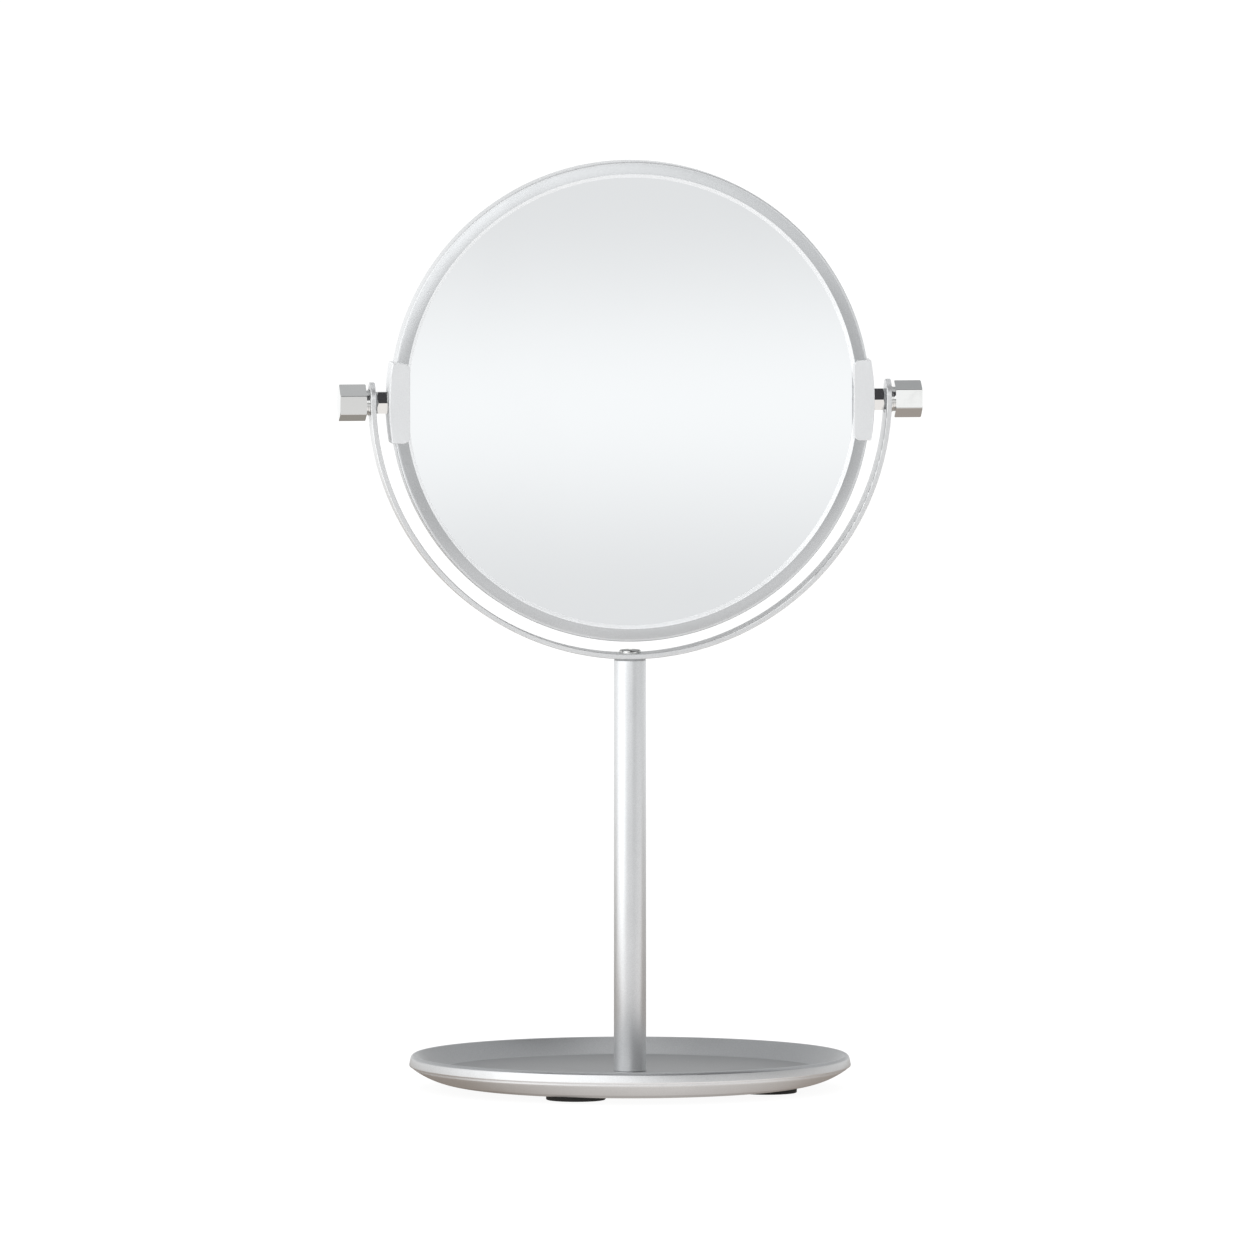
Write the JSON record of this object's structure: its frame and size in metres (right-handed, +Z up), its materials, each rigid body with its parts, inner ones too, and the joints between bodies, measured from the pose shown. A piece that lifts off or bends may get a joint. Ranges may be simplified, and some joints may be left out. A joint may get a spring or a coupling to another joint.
{
  "type": "free-standing shaving mirror",
  "caption": "Free-standing two-sided round shaving mirror that tilts in a strip yoke on a slim stem with a tray base",
  "frame": {"origin": "on the table under the stem's axis, level with the underside of the rubber feet", "axes": "+Z up the stem; the plain mirror faces -Y at rest; +X along the tilt axis to the right knob"},
  "size_m": [0.2166, 0.1638, 0.344],
  "materials": {
    "base_silver": "satin silver lacquer on pressed steel",
    "tube_silver": "satin silver lacquer on steel tube",
    "yoke_silver": "satin silver lacquer on steel strip",
    "ring_silver": "satin silver lacquer with a bright edge",
    "clip_silver": "fine matt silver lacquer",
    "polished_chrome": "polished chrome plate",
    "mirror_glass": "silvered float glass",
    "foot_rubber": "matt black rubber",
    "zinc_steel": "bright zinc plated steel",
    "grey_plastic": "matt grey moulded plastic",
    "pad_foam": "pale closed-cell foam sheet"
  },
  "bodies": {
    "stand": {"base_tray": "base_silver", "base_pan": "base_silver", "base_weight": "zinc_steel", "base_washer": "zinc_steel", "base_bolt": "zinc_steel", "foot_1": "foot_rubber", "foot_2": "foot_rubber", "foot_3": "foot_rubber", "foot_4": "foot_rubber", "stem_tube": "tube_silver", "stem_bottom_insert": "zinc_steel", "stem_top_insert": "zinc_steel", "yoke_saddle": "grey_plastic", "yoke": "yoke_silver", "yoke_screw": "polished_chrome"},
    "mirror": {"mirror_ring": "ring_silver", "rear_bezel": "ring_silver", "front_mirror_glass": "mirror_glass", "rear_magnifying_glass": "mirror_glass", "glass_spacer_ring": "grey_plastic", "backing_pad": "pad_foam", "left_clip": "clip_silver", "right_clip": "clip_silver", "left_stud": "zinc_steel", "right_stud": "zinc_steel", "left_lock_nut": "polished_chrome", "right_lock_nut": "polished_chrome", "left_inner_washer": "grey_plastic", "right_inner_washer": "grey_plastic"},
    "left_washer": {"left_friction_washer": "polished_chrome"},
    "left_knob": {"left_knob": "polished_chrome"},
    "right_washer": {"right_friction_washer": "polished_chrome"},
    "right_knob": {"right_knob": "polished_chrome"}
  },
  "joints": [
    {"name": "mirror_tilt", "type": "hinge", "parent": "stand", "child": "mirror", "pos_m": [0, 0, 0.255], "axis": [1, 0, 0], "continuous": true},
    {"name": "left_knob_travel", "type": "slide", "parent": "mirror", "child": "left_washer", "axis": [-1, 0, 0], "range_m": [0, 0.0008]},
    {"name": "left_knob_turn", "type": "hinge", "parent": "left_washer", "child": "left_knob", "pos_m": [-0.1034, 0, 0.255], "axis": [-1, 0, 0], "range_deg": [0, 360]},
    {"name": "right_knob_travel", "type": "slide", "parent": "mirror", "child": "right_washer", "axis": [1, 0, 0], "range_m": [0, 0.0008]},
    {"name": "right_knob_turn", "type": "hinge", "parent": "right_washer", "child": "right_knob", "pos_m": [0.1034, 0, 0.255], "axis": [1, 0, 0], "range_deg": [0, 360]}
  ],
  "couplings": [
    {"joint": "left_knob_turn", "follows": "left_knob_travel", "rad_per_m": 7853.9},
    {"joint": "right_knob_turn", "follows": "right_knob_travel", "rad_per_m": 7853.9}
  ]
}
